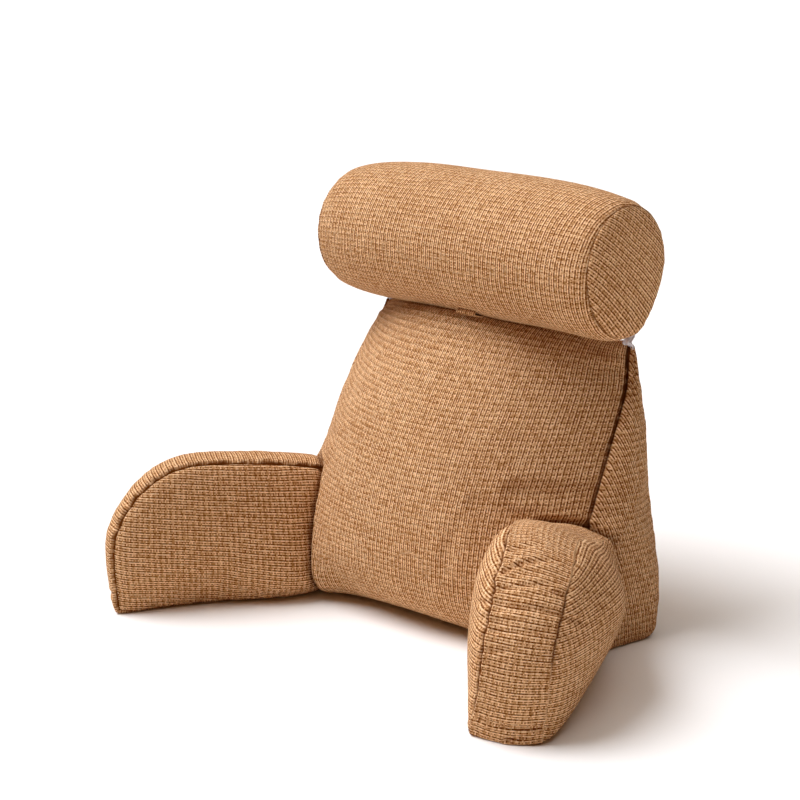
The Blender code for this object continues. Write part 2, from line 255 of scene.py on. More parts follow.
def arm_ring(side, outline, scale, across, foot_scale=None):
    along, up = outline.T
    middle_along, middle_up = ARM_MIDDLE
    scale_up = np.where(up < middle_up, scale if foot_scale is None else foot_scale, scale)
    along = middle_along + (along - middle_along) * scale
    up = middle_up + (up - middle_up) * scale_up
    rows = [(arm_place(side, *(np.array([v]) for v in at))[0], *rest) for at, *rest in ARM_PUSHES[side]]
    return pushed(arm_place(side, along, across, up), rows)


# The neck roll


def roll_matrix():
    turn = Matrix.Rotation(ROLL_YAW, 4, "Z") @ Matrix.Rotation(ROLL_TILT, 4, "Y")
    return np.array(Matrix.Translation(ROLL_CENTRE) @ turn)


def roll_radius(along):
    left = np.asarray(along) < 0
    power = np.where(left, ROLL_BARREL_POWER["left"], ROLL_BARREL_POWER["right"])
    seam = np.where(left, ROLL_SEAM_RADIUS["left"], ROLL_SEAM_RADIUS["right"])
    fall = np.minimum(1.0, np.abs(np.asarray(along) / ROLL_HALF_LENGTH)) ** power
    return ROLL_RADIUS - (ROLL_RADIUS - seam) * fall


def roll_droop(along):
    droop = np.where(np.asarray(along) < 0, ROLL_DROOP["left"], ROLL_DROOP["right"])
    return droop * (np.asarray(along) / ROLL_HALF_LENGTH) ** 2


def roll_ring(radius, along, count):
    turn = np.linspace(0, 2 * math.pi, count + 1) - math.pi / 2
    droop = float(roll_droop(along))
    local = np.stack(
        [np.full(count + 1, along), radius * np.cos(turn), radius * np.sin(turn) - droop, np.ones(count + 1)], 1
    )
    return pushed((local @ roll_matrix().T)[:, :3], ROLL_PUSHES)


# ---------------------------------------------------------------- a stuffed form as rings


# What stands where in a panel's row; the third is its flat places.
NAME, POINTS, _, SEAM, ACROSS = range(5)


class Form:
    """A closed form made of panels in a row, each a grid of rings that shares its seam rings with its neighbours.

    The first and the last ring are hubs, with all their points in one place. flat are the panel's own thread
    coordinates, with one column more than the points, so that they don't wrap. seam and across are given
    per ring: the distance to the nearest seam, and the place across the form.
    """

    def __init__(self, name, around):
        self.name = name
        self.around = np.asarray(around, float)
        self.panels = []

    def panel(self, name, points, flat, seam, across):
        points = np.stack(points)[:, :-1]
        self.panels.append([name, points, np.stack(flat), np.asarray(seam, float), np.asarray(across, float)])

    def finer(self, round_it, over_it):
        """A copy with that many steps for each one, round the form and over it."""
        out = Form(self.name, stretched(self.around, round_it))
        for name, points, flat, seam, across in self.panels:
            points = smoothed(smoothed(points, round_it, 1, True), over_it, 0, False)
            flat = smoothed(smoothed(flat, round_it, 1, False), over_it, 0, False)
            out.panels.append([name, points, flat, stretched(seam, over_it), stretched(across, over_it)])
        return out

    @property
    def count(self):
        return self.panels[0][POINTS].shape[1]

    def per_ring(self, column):
        """That column of the panels, with each ring once."""
        parts = [panel[column] for panel in self.panels]
        return np.concatenate([parts[0]] + [part[1:] for part in parts[1:]])

    def per_point(self, column):
        """The same for each point of the built mesh, whose last two points are the hubs."""
        by_ring = self.per_ring(column)
        return np.concatenate([np.repeat(by_ring[1:-1], self.count), by_ring[[0, -1]]])

    def seam_rings(self):
        """The places of the seam rings among the rings."""
        far, out = 0, []
        for panel in self.panels[:-1]:
            far += len(panel[POINTS]) - 1
            out.append(far - 1)
        return out

    def moved(self, points):
        """Takes the places of a built mesh's points back into the panels."""
        count = self.count
        rings = points[: len(points) - 2].reshape(-1, count, 3)
        hubs = points[-2:]
        whole = np.concatenate([np.repeat(hubs[:1, None], count, 1), rings, np.repeat(hubs[1:, None], count, 1)])
        far = 0
        for panel in self.panels:
            rows = len(panel[POINTS])
            panel[POINTS] = whole[far : far + rows].copy()
            far += rows - 1

    def build(self):
        count, rings = self.count, self.per_ring(POINTS)
        total = len(rings) - 2
        points = np.concatenate([rings[1:-1].reshape(-1, 3), rings[[0, -1], 0]])
        faces, corners_flat, tags = [], [], []
        far = -1
        for tag, (_, rows, flat, _, _) in enumerate(self.panels):
            for i in range(len(rows) - 1):
                low, high = far + i, far + i + 1
                for j in range(count):
                    k = (j + 1) % count
                    around_it = (flat[i][j], flat[i][j + 1], flat[i + 1][j + 1], flat[i + 1][j])
                    if low < 0:
                        faces.append((total * count, high * count + k, high * count + j))
                        corners_flat += (around_it[0], around_it[2], around_it[3])
                    elif high >= total:
                        faces.append((low * count + j, low * count + k, total * count + 1))
                        corners_flat += around_it[:3]
                    else:
                        faces.append((low * count + j, low * count + k, high * count + k, high * count + j))
                        corners_flat += around_it
                    tags.append(tag)
            far += len(rows) - 1
        mesh = bpy.data.meshes.new(self.name)
        mesh.from_pydata(points.tolist(), [], faces)
        layer = mesh.uv_layers.new(name="threads")
        layer.data.foreach_set("uv", np.array(corners_flat, np.float32).ravel())
        mesh.polygons.foreach_set("material_index", np.array(tags, np.int32))
        mesh.polygons.foreach_set("use_smooth", np.ones(len(tags), bool))
        keep(mesh, "seam", self.per_point(SEAM))
        keep(mesh, "across", self.per_point(ACROSS))
        keep(mesh, "around", np.concatenate([np.tile(self.around[:count], total), [0, 0]]))
        turn_outwards(mesh)
        return linked(self.name, mesh)

    def held(self):
        """The built mesh's points on the seams."""
        count = self.count
        return [i * count + j for i in self.seam_rings() for j in range(count)]

    def names(self):
        return [panel[NAME] for panel in self.panels]


def stretched(row, steps):
    places = np.arange((len(row) - 1) * steps + 1) / steps
    return np.interp(places, np.arange(len(row)), row)


def smoothed(grid, steps, axis, closed):
    """Steps put between the rows of a grid along an axis, on a smooth curve."""
    if steps == 1:
        return grid
    grid = np.moveaxis(grid, axis, 0)
    if closed:
        four = [np.roll(grid, shift, 0) for shift in (1, 0, -1, -2)]
    else:
        ends = np.concatenate([2 * grid[:1] - grid[1:2], grid, 2 * grid[-1:] - grid[-2:-1]])
        four = ends[:-3], ends[1:-2], ends[2:-1], ends[3:]
    out = np.stack([smooth_value(*four, step / steps) for step in range(steps)], 1).reshape(-1, *grid.shape[1:])
    if not closed:
        out = np.concatenate([out, grid[-1:]])
    return np.moveaxis(out, 0, axis)


def turn_outwards(mesh):
    bm = bmesh.new()
    bm.from_mesh(mesh)
    if bm.calc_volume(signed=True) < 0:
        bmesh.ops.reverse_faces(bm, faces=bm.faces)
        bm.to_mesh(mesh)
    bm.free()


def coords(mesh):
    out = np.empty(len(mesh.vertices) * 3, np.float32)
    mesh.vertices.foreach_get("co", out)
    return out.reshape(-1, 3).astype(float)


def normals(mesh):
    out = np.empty(len(mesh.vertices) * 3, np.float32)
    mesh.vertex_normals.foreach_get("vector", out)
    return out.reshape(-1, 3).astype(float)


def values(mesh, name):
    out = np.empty(len(mesh.vertices), np.float32)
    mesh.attributes[name].data.foreach_get("value", out)
    return out.astype(float)


def put(mesh, points):
    mesh.vertices.foreach_set("co", np.asarray(points, np.float32).ravel())
    mesh.update()


def keep(mesh, name, numbers):
    layer = mesh.attributes.get(name) or mesh.attributes.new(name, "FLOAT", "POINT")
    layer.data.foreach_set("value", np.asarray(numbers, np.float32))


def linked(name, data):
    obj = bpy.data.objects.new(name, data)
    bpy.context.scene.collection.objects.link(obj)
    return obj


def applied(obj):
    graph = bpy.context.evaluated_depsgraph_get()
    mesh = bpy.data.meshes.new_from_object(obj.evaluated_get(graph), preserve_all_data_layers=True, depsgraph=graph)
    obj.modifiers.clear()
    old = obj.data
    obj.data = mesh
    bpy.data.meshes.remove(old)
    return mesh


# ---------------------------------------------------------------- stuffing


# Points lower than this stay on the floor, and the stuffing's moves fade out this near to a seam.
ON_FLOOR = 0.0015
STUFFING_FADE = 0.012


def inflate(form, cap, pressure=4.0, spare=0.012, frames=18):
    """Blows a form up as cloth that is held along its seams; no point moves further than about the cap."""
    obj = form.build()
    rest = coords(obj.data)
    group = obj.vertex_groups.new(name="held")
    on_floor = np.nonzero(rest[:, 2] < ON_FLOOR)[0].tolist()
    group.add(form.held() + on_floor, 1.0, "REPLACE")
    modifier = obj.modifiers.new("stuffing", "CLOTH")
    cloth = modifier.settings
    cloth.quality = 5
    cloth.mass = 0.25
    cloth.tension_stiffness = 14
    cloth.compression_stiffness = 14
    cloth.shear_stiffness = 6
    cloth.bending_stiffness = 0.6
    cloth.use_pressure = True
    cloth.uniform_pressure_force = pressure
    cloth.vertex_group_mass = "held"
    cloth.shrink_min = -spare
    cloth.effector_weights.gravity = 0
    modifier.collision_settings.use_collision = False
    scene = bpy.context.scene
    for number in range(1, frames + 1):
        scene.frame_set(number)
    graph = bpy.context.evaluated_depsgraph_get()
    moved = coords(obj.evaluated_get(graph).data) - rest
    bpy.data.objects.remove(obj)
    scene.frame_set(1)
    size = np.linalg.norm(moved, axis=1, keepdims=True)
    moved *= cap * np.tanh(size / cap) / np.maximum(size, 1e-9)
    rings = moved[:-2].reshape(-1, form.count, 3)
    for _ in range(3):
        rings = (2 * rings + np.roll(rings, 1, 1) + np.roll(rings, -1, 1)) / 4
        padded = np.concatenate([rings[:1], rings, rings[-1:]])
        rings = (2 * rings + padded[:-2] + padded[2:]) / 4
    moved[:-2] = rings.reshape(-1, 3)
    moved[-2:] = rings[[0, -1]].mean(1)
    moved *= (1 - bell(form.per_point(SEAM), STUFFING_FADE))[:, None]
    form.moved(floor_held(rest + moved))


# ---------------------------------------------------------------- seams, puckers and creases


def ripple(places, length, seed):
    """Smooth uneven waves of about that length, from -1 to 1."""
    return np.array([noise.noise(Vector((p / length, seed * 7.31, seed * 1.7))) for p in places.tolist()]) * 1.6


def unevenness(points, scale):
    return np.array([noise.noise(Vector(p) * scale) for p in points.tolist()])


# Widths of a seam: of what it moves at all, its groove, the fall towards it, its line of painted shade and its edge
# of painted highlight
SEAM_REACH = 0.05
GROOVE_WIDTH = 0.0026
FALL_WIDTH = 0.0085
PAINTED_SHADE_WIDTH = 0.0021
PAINTED_HIGHLIGHT_WIDTH = 0.0013


def draw_in(mesh, style, seed):
    """Draws the seams of a form in, with their lips, and puckers that fade away from them.

    style gives, for each point near a seam: how deep the groove is, how far the cloth beside it lies back, the
    lip's height and its distance from the seam, the puckers' height, and how strong the seam's painted shade and
    painted highlight are.
    """
    points, out = coords(mesh), normals(mesh)
    near = np.nonzero(values(mesh, "seam") < SEAM_REACH)[0]
    d, around, across = (values(mesh, name)[near] for name in ("seam", "around", "across"))
    groove, back, lip, lip_at, pucker, painted_shade, painted_seam_highlight = style(points[near], across, around)
    uneven = 1 + 0.35 * ripple(around, 0.017, seed) + 0.2 * ripple(around, 0.006, seed + 5)
    move = -groove * bell(d, GROOVE_WIDTH) * uneven - back * bell(d, FALL_WIDTH)
    move += lip * uneven * bell(d - lip_at, 0.62 * lip_at + 0.0004)
    gather = ripple(around, 0.0115, seed + 1) + 0.6 * ripple(around, 0.0060, seed + 2)
    reach = np.maximum(0.008 + 0.005 * ripple(around, 0.03, seed + 3), 0.004)
    move += pucker * gather * (d / reach) * np.exp(1 - d / reach)
    # Painted shade along each seam's line and a painted highlight along its edge, kept as attributes for the
    # material
    tone, light = np.zeros(len(points)), np.zeros(len(points))
    wide = PAINTED_SHADE_WIDTH * (1 + 0.55 * ripple(around, 0.010, seed + 6))
    tone[near] = painted_shade * bell(d, wide) * np.clip(1.0 + 0.5 * ripple(around, 0.008, seed + 4), 0, 1.1)
    ragged = np.clip(0.8 + 0.6 * ripple(around, 0.009, seed + 8), 0, 1)
    light[near] = painted_seam_highlight * bell(d, PAINTED_HIGHLIGHT_WIDTH) * ragged
    keep(mesh, "painted_seam_shade", np.clip(tone, 0, 1))
    keep(mesh, "painted_seam_highlight", np.clip(light, 0, 1))
    points[near] += out[near] * move[:, None]
    put(mesh, floor_held(points))


def floor_held(points):
    points[:, 2] = np.maximum(points[:, 2], 0.0)
    return points


def segment_distance(p, a, b):
    """Distance from each point of p to a line from a to b, and the share of the way along it."""
    a, b = np.asarray(a, float), np.asarray(b, float)
    along = b - a
    share = np.clip(((p - a) @ along) / (along @ along), 0, 1)
    return np.linalg.norm(p - (a + share[:, None] * along), axis=1), share


def trough(flat, rows):
    """Soft troughs with raised lips: rows of (start, end, half width, depth). Returns how far points move out."""
    move = np.zeros(len(flat))
    for start, end, width, depth in rows:
        d, share = segment_distance(flat, start, end)
        x = d / width
        fade = np.sqrt(np.clip(1.15 - share, 0.15, 1.0))
        move += depth * fade * (0.50 * np.exp(-((x - 1.7) ** 2) / 0.8) - np.exp(-(x**2)))
    return move


def pinch(mesh, tree, depth, reach, allowed=None, lip=0.0):
    """Draws a form in where another form is sewn to it, and paints shade along the join."""
    points, out = coords(mesh), normals(mesh)
    move = np.zeros(len(points))
    tone = values(mesh, "painted_seam_shade") if "painted_seam_shade" in mesh.attributes else np.zeros(len(points))
    for i, p in enumerate(points):
        if allowed is not None and not allowed[i]:
            continue
        hit = tree.find_nearest(Vector(p), reach * 3)
        if hit[0] is None:
            continue
        offset = Vector(p) - hit[0]
        outside = offset.dot(hit[1]) > 0
        d = offset.length if outside else 0.0
        move[i] = -depth * (0.6 * math.exp(-((d / reach) ** 2)) + 0.4 * math.exp(-((d / (reach * 0.35)) ** 2)))
        move[i] += lip * math.exp(-(((d - 0.9 * reach) / (0.45 * reach)) ** 2))
        # Painted shade along the join
        tone[i] = max(tone[i], 0.5 * math.exp(-((d / 0.0020) ** 2)))
    keep(mesh, "painted_seam_shade", tone)
    put(mesh, floor_held(points + out * move[:, None]))


def tree_of(obj, remove=True):
    mesh = obj.data
    tree = BVHTree.FromPolygons([v.co.copy() for v in mesh.vertices], [list(p.vertices) for p in mesh.polygons])
    if remove:
        bpy.data.objects.remove(obj)
    return tree


# ---------------------------------------------------------------- splitting a form into its panels


def split(obj, panels, names):
    """One closed object for each panel, with its edges turned in along the seams."""
    mesh = obj.data
    points, out = coords(mesh), normals(mesh)
    inward = mesh.attributes.new("inward", "FLOAT_VECTOR", "POINT")
    # Inwards, and also level towards the form's middle, so that nothing that is turned in shows
    level = (points.mean(0) - points) * (1.0, 1.0, 0.2)
    share = 0.6 + 1.3 * bell(points[:, 2], 0.02)
    turned = level * (share / np.maximum(np.linalg.norm(level, axis=1), 1e-6))[:, None] - out
    turned /= np.maximum(np.linalg.norm(turned, axis=1), 0.3)[:, None]
    inward.data.foreach_set("vector", turned.astype(np.float32).ravel())
    made = {}
    for index, panel in enumerate(panels):
        bm = bmesh.new()
        bm.from_mesh(mesh)
        others = [f for f in bm.faces if f.material_index != index]
        bmesh.ops.delete(bm, geom=others, context="FACES")
        turn_edges_in(bm)
        for face in bm.faces:
            face.material_index = 0
            face.smooth = True
        new = bpy.data.meshes.new(names[panel])
        bm.to_mesh(new)
        bm.free()
        made[panel] = linked(names[panel], new)
    bpy.data.objects.remove(obj)
    return made


def turn_edges_in(bm):
    inward = bm.verts.layers.float_vector["inward"]
    edges = [e for e in bm.edges if e.is_boundary]
    rim = {v for e in edges for v in e.verts}
    back = {}
    for vert in rim:
        inner = [e.other_vert(vert).co for e in vert.link_edges if not e.is_boundary]
        if inner:
            towards = sum((c - vert.co for c in inner), Vector())
            if towards.length > 1e-9:
                back[vert] = towards.normalized() * SEAM_GAP
    for vert, move in back.items():
        vert.co += move
    made = bmesh.ops.extrude_edge_only(bm, edges=edges)["geom"]
    lower = [g for g in made if isinstance(g, bmesh.types.BMVert)]
    for vert in lower:
        vert.co += vert[inward] * TURNED_IN
        vert.co.z = max(vert.co.z, 0.0)
    left = {e for e in made if isinstance(e, bmesh.types.BMEdge) and e.is_boundary}
    while left:
        loop = [left.pop()]
        growing = True
        while growing:
            growing = False
            for vert in loop[-1].verts:
                for edge in vert.link_edges:
                    if edge in left:
                        left.discard(edge)
                        loop.append(edge)
                        growing = True
                        break
                if growing:
                    break
        ring = {v for e in loop for v in e.verts}
        hub = bm.verts.new(sum((v.co for v in ring), Vector()) / len(ring))
        for edge in loop:
            bm.faces.new((edge.verts[0], edge.verts[1], hub))
    bmesh.ops.recalc_face_normals(bm, faces=bm.faces)
    if bm.calc_volume(signed=True) < 0:
        bmesh.ops.reverse_faces(bm, faces=bm.faces)


# ---------------------------------------------------------------- the wedge

WEDGE_AROUND = 176
WEDGE_HALF_WIDTH = 0.232
# From the middle to a side seam, over the belly
WEDGE_HALF_OVER = 0.236
# Where each panel starts in the cloth, so that no two show the same unevenness
CLOTH_START = {
    "wedge_side": 3.1,
    "wedge_main": 0.7,
    "inner": 4.0,
    "outer": 6.3,
    "boxing": 1.9,
    "roll_end": 2.7,
    "tube": 0.9,
}


def make_wedge():
    rows, far = wedge_rows(WEDGE_AROUND)
    form = Form("wedge", far)

    def side(name):
        sign = SIGN[name]
        seam = wedge_ring(rows, float(sign))
        hub = seam[:-1].mean(0)
        points, flat, away = [], [], []
        for turn in np.append(graded_dome(12, 0.35), math.pi / 2):
            ring = hub + (seam - hub) * math.cos(turn)
            ring[:, 0] += sign * SIDE_PUFF[name] * math.sin(turn)
            ring[:, 2] = np.maximum(0.0, ring[:, 2])
            y, z = ((seam - hub) * math.cos(turn) * 1.01)[:, 1:].T
            points.append(ring)
            flat.append(np.stack([1.12 * y + 0.12 * z, 0.03 * y + 0.82 * z], 1) + CLOTH_START["wedge_side"])
            away.append(np.linalg.norm(ring - seam, axis=1).mean())
        points[-1] = np.repeat(points[-1][:-1].mean(0)[None], len(seam), 0)
        return points, flat, away, np.full(len(away), 1.2 * sign)

    form.panel("left", *(part[::-1] for part in side("left")))
    places = graded(2.0, 0.011, 0.031) - 1.0
    points = [wedge_ring(rows, float(across)) for across in places]
    widths = places * (1.07 + 0.10 * np.abs(places)) * WEDGE_HALF_WIDTH
    flat = [np.stack([np.full(len(far), width), far * 0.86], 1) + CLOTH_START["wedge_main"] for width in widths]
    form.panel("main", points, flat, (1 - np.abs(places)) * WEDGE_HALF_OVER, places)
    form.panel("right", *side("right"))
    return form


# Creases and dimples of the wedge's front, in (x, z) as seen from the front
WEDGE_CREASES = [
    ((0.098, 0.100), (0.106, 0.165), 0.009, 0.0018),
    ((0.160, 0.206), (0.215, 0.196), 0.010, 0.0035),
    ((0.120, 0.190), (0.150, 0.175), 0.008, 0.0022),
    ((-0.150, 0.215), (-0.196, 0.190), 0.010, 0.0022),
]


def shape_wedge(mesh):
    draw_in(mesh, ridge_seam, 3)
    points, out = coords(mesh), normals(mesh)
    front = points[:, 1] < 0.10
    move = trough(points[:, [0, 2]], WEDGE_CREASES) * front
    soft = unevenness(points, 7.0) * 0.0011
    put(mesh, floor_held(points + out * (move + soft * (points[:, 2] > 0.01))[:, None]))
    press(mesh)


def ridge_seam(points, across, around):
    """Painted shade, dark and ragged near the top, and a painted highlight along the side panel's edge lower down.
    """
    high = np.clip((points[:, 2] - 0.22) / 0.10, 0, 1)
    on_side = np.abs(across) > 1
    one = np.ones(len(points))
    return (
        0.0030 * one,
        np.where(on_side, 0.0004, 0.0018),
        np.where(on_side, 0.0012, 0.0004),
        0.0020 * one,
        0.0006 + 0.0009 * high,
        0.55 + 0.40 * high,
        np.where(on_side, 0.75 - 0.35 * high, 0.0),
    )


def press(mesh):
    """Presses the neck roll into the top of the wedge."""
    points = coords(mesh)
    matrix = roll_matrix()
    local = (np.c_[points, np.ones(len(points))] @ np.linalg.inv(matrix).T)[:, :3]
    local[:, 2] += roll_droop(local[:, 0])
    radius = np.linalg.norm(local[:, 1:], axis=1)
    wanted = roll_radius(np.clip(local[:, 0], -ROLL_HALF_LENGTH, ROLL_HALF_LENGTH)) + 0.0008
    softness = 0.0015
    over = (wanted - radius) / softness
    outside = radius + softness * np.logaddexp(0, np.clip(over, -40, 40)) * (over > -40)
    local[:, 1:] *= (outside / np.maximum(radius, 1e-9))[:, None]
    local[:, 2] -= roll_droop(local[:, 0])
    points = (np.c_[local, np.ones(len(points))] @ matrix.T)[:, :3]
    put(mesh, points)


# ---------------------------------------------------------------- the arms

ARM_AROUND = 186
# How many of the check's repeats lie along and up an arm's panels, against the plain measure
ARM_THREADS = {"inner": (0.86, 0.80), "outer": (0.62, 0.98)}


def make_arm(side):
    outline, far = arm_outline(ARM_AROUND)
    form = Form("arm_" + side, far)
    middle = np.array(ARM_MIDDLE)

    def puffed(face):
        start, outwards = (0.0, -1) if face == "inner" else (1.0, 1)
        puff = PUFF[face][side]
        points, places, shares = [], [], []
        # The inner panel lies nearly flat at its front corner.
        low = 0.7 * np.exp(-((outline[:, 1] / 0.055) ** 2) - (outline[:, 0] / 0.10) ** 2) * (face == "inner")
        for turn in np.append(graded_dome(14, 0.30), math.pi / 2):
            across = start + outwards * puff * math.sin(turn) ** PUFF_POWER / ARM_WIDTH
            share = max(math.cos(turn), 1e-6)
            flatter = start + (across - start) * (1 - low * share)
            points.append(arm_ring(side, outline, share, flatter, share ** ARM_FOOT_POWER[face]))
            places.append(across)
            shares.append(share)
        away = [np.linalg.norm(ring - points[0], axis=1).mean() for ring in points]
        points[-1] = np.repeat(points[-1][:-1].mean(0)[None], len(outline), 0)
        # The flat cloth is as large as the way over the puff.
        steps = [np.linalg.norm(b - a, axis=1).mean() for a, b in zip(points, points[1:])]
        flat = []
        for i, share in enumerate(shares):
            size = np.full_like(outline, sum(steps[i:]) / np.linalg.norm(outline - middle, axis=1).mean())
            size[outline[:, 1] < middle[1], 1] *= share ** (ARM_FOOT_POWER[face] - 1)
            placed = (outline - middle) * size * ARM_THREADS[face]
            bent = 1.1 if face == "outer" else 0.0
            placed += np.stack([bent * placed[:, 1] ** 2, 0.12 * placed[:, 0]], 1)
            if face == "inner" and side == "left":
                # This one is nearly flat, so its threads run straight over it.
                real = (outline - middle) * share
                real[outline[:, 1] < middle[1], 1] *= share ** (ARM_FOOT_POWER[face] - 1)
                placed = np.stack([0.90 * real[:, 0], 0.97 * real[:, 1] + 0.14 * real[:, 0]], 1)
            flat.append(placed[:, ::-1] + CLOTH_START[face])
        return points, flat, away, places

    form.panel("inner", *(part[::-1] for part in puffed("inner")))
    places = graded(ARM_WIDTH, 0.0022, 0.0062) / ARM_WIDTH
    crowns = 1 + BOXING_CROWN * (1 - (2 * places - 1) ** 2)
    points = [arm_ring(side, outline, crown, across) for crown, across in zip(crowns, places)]
    flat = [
        np.stack([far * 0.94 + 0.01 * across * ARM_WIDTH, np.full(len(far), across * ARM_WIDTH)], 1)
        + CLOTH_START["boxing"]
        for across in places
    ]
    form.panel("boxing", points, flat, np.minimum(places, 1 - places) * ARM_WIDTH, places)
    form.panel("outer", *puffed("outer"))
    return form


# Creases of the arms' boxing strips, as (place across, place up the strip) in metres
BOXING_CREASES = {
    "right": [
        ((0.002, 0.236), (0.046, 0.260), 0.0042, 0.0022),
        ((0.002, 0.201), (0.024, 0.220), 0.0036, 0.0040),
        ((0.022, 0.219), (0.062, 0.238), 0.0042, 0.0030),
        ((0.002, 0.180), (0.066, 0.203), 0.0038, 0.0026),
        ((0.079, 0.190), (0.048, 0.197), 0.0036, 0.0028),
        ((0.079, 0.168), (0.046, 0.171), 0.0034, 0.0020),
        ((0.002, 0.156), (0.056, 0.168), 0.0036, 0.0020),
        ((0.002, 0.133), (0.060, 0.141), 0.0034, 0.0017),
        ((0.079, 0.122), (0.044, 0.126), 0.0034, 0.0016),
        ((0.002, 0.110), (0.042, 0.117), 0.0034, 0.0016),
        ((0.002, 0.086), (0.052, 0.093), 0.0036, 0.0013),
        ((0.079, 0.078), (0.048, 0.081), 0.0034, 0.0012),
        ((0.002, 0.060), (0.030, 0.066), 0.0034, 0.0014),
        ((0.002, 0.025), (0.040, 0.023), 0.0036, 0.0024),
        ((0.079, 0.020), (0.036, 0.023), 0.0036, 0.0024),
        ((0.044, 0.005), (0.062, 0.010), 0.0030, 0.0030),
    ],
    "left": [
        ((0.002, 0.150), (0.030, 0.158), 0.0034, 0.0022),
        ((0.002, 0.118), (0.034, 0.122), 0.0032, 0.0018),
        ((0.002, 0.240), (0.026, 0.244), 0.0040, 0.0014),
        ((0.002, 0.205), (0.034, 0.199), 0.0036, 0.0016),
        ((0.079, 0.130), (0.048, 0.124), 0.0034, 0.0018),
        ((0.079, 0.190), (0.052, 0.196), 0.0034, 0.0016),
        ((0.010, 0.020), (0.070, 0.017), 0.0040, 0.0018),
    ],
}


def shape_arm(mesh, side):
    strong = side == "right"

    def seams(points, across, around):
        inner, panel = across < 0.5, (across < 0) | (across > 1)
        nose = np.exp(-(((around - 0.147) / 0.052) ** 4))
        hem = (points[:, 2] < 0.004) & inner & panel
        front = np.where(inner, 1.0, np.clip((0.300 - around) / 0.02, 0, 1))
        return (
            np.where(inner, 0.0042, (0.0010 + 0.0018 * nose) * front),
            np.where(panel, np.where(inner, 0.0032, 0.0012), 0.0) * front,
            np.where(panel, 0.0002, np.where(inner, 0.0018, 0.0012)) * front,
            np.where(inner, 0.0048, 0.0015),
            0.0006 + (0.0017 if strong else 0.0007) * nose,
            # Painted shade along the inner seams and round the nose, painted highlight along the outer seams and at
            # the inner panel's foot
            np.where(inner, 1.0, 0.05 + 0.75 * nose) * ~hem * front,
            np.where(hem, 0.7, np.where(inner, 0.0, 0.9 * (1.0 - nose) * front + 0.35 * (1.0 - front))),
        )

    draw_in(mesh, seams, 11 if strong else 23)
    points, out = coords(mesh), normals(mesh)
    across, around = values(mesh, "across"), values(mesh, "around")
    # The seams aren't sewn quite straight.
    sideways = np.array([SIGN[side] * math.cos(ARM_SPLAY[side]), math.sin(ARM_SPLAY[side]), 0.0])
    wave = 0.0011 * ripple(around, 0.016, 61) + 0.0006 * ripple(around, 0.007, 62)
    if strong:
        wave -= 0.0030 * bell(around - 0.200, 0.006) * (across < 0.5)
    nearness = bell(values(mesh, "seam"), 0.007) * np.clip(around / 0.02, 0, 1)
    points += (wave * nearness)[:, None] * sideways
    boxing = (across > 0.0) & (across < 1.0)
    flat = np.stack([across * ARM_WIDTH, around], 1)
    move = trough(flat, BOXING_CREASES[side]) * boxing * np.clip(np.minimum(across, 1 - across) * 20, 0, 1)
    soft = unevenness(points, 12.0) * 0.0011
    put(mesh, floor_held(points + out * (move + soft * (points[:, 2] > 0.008))[:, None]))


# ---------------------------------------------------------------- the neck roll

ROLL_AROUND = 104


def make_roll():
    turn = np.linspace(0, 2 * math.pi, ROLL_AROUND + 1)
    around = turn * ROLL_RADIUS
    form = Form("roll", around)

    def end(side):
        sign = SIGN[side]
        far = turn + math.radians(-142 if side == "right" else 20)
        points, flat, away = [], [], []
        for angle in np.append(graded_dome(10, 0.3), math.pi / 2):
            radius = ROLL_SEAM_RADIUS[side] * math.cos(angle)
            along = sign * (ROLL_HALF_LENGTH + ROLL_END_PUFF * math.sin(angle))
            points.append(roll_ring(radius, along, ROLL_AROUND))
            flat.append(np.stack([np.cos(far), np.sin(far)], 1) * radius * 0.94 + CLOTH_START["roll_end"])
            away.append(ROLL_SEAM_RADIUS[side] - radius + 0.4 * ROLL_END_PUFF * math.sin(angle))
        return points, flat, away, np.full(len(away), 1.2 * sign)

    form.panel("left", *(part[::-1] for part in end("left")))
    places = graded(2 * ROLL_HALF_LENGTH, 0.0025, 0.0070) - ROLL_HALF_LENGTH
    points = [roll_ring(float(roll_radius(along)), float(along), ROLL_AROUND) for along in places]
    flat = [np.stack([0.95 * along + 0.068 * around, around * 0.89], 1) + CLOTH_START["tube"] for along in places]
    form.panel("tube", points, flat, ROLL_HALF_LENGTH - np.abs(places), places / ROLL_HALF_LENGTH)
    form.panel("right", *end("right"))
    return form


def roll_seam(points, across, around):
    one = np.ones(len(points))
    # Painted shade along the right end's seam, and barely any on the left
    painted_shade = np.where(across > 0, 0.6, 0.05)
    return 0.0014 * one, 0.0022 * one, 0.0 * one, 0.0030 * one, 0.00045 * one, painted_shade, 0.0 * one


def shape_roll(mesh):
    draw_in(mesh, roll_seam, 31)
    points, out = coords(mesh), normals(mesh)
    put(mesh, points + out * (unevenness(points, 8.0) * 0.0016)[:, None])


# ---------------------------------------------------------------- the strap and the ribbons

STRAP_PATH = [(0.090, 0.387), (0.062, 0.3915), (0.0445, 0.3975), (0.056, 0.4040), (0.075, 0.405)]
STRAP_WIDTH = 0.030
RIBBON_PATH = [(0.151, 0.354), (0.151, 0.364), (0.142, 0.370), (0.148, 0.379), (0.139, 0.387), (0.121, 0.405)]
RIBBON_WIDTH = 0.014
# The ribbon's own width before it was gathered
RIBBON_X = 0.200
RIBBON_LEAN = 0.28


def curved_path(keys, steps):
    ends = [keys[0]] + keys + [keys[-1]]
    path = []
    for a, b, c, d in zip(ends, ends[1:], ends[2:], ends[3:]):
        for i in range(steps):
            path.append(tuple(smooth_value(a[k], b[k], c[k], d[k], i / steps) for k in (0, 1)))
    return path + [keys[-1]]


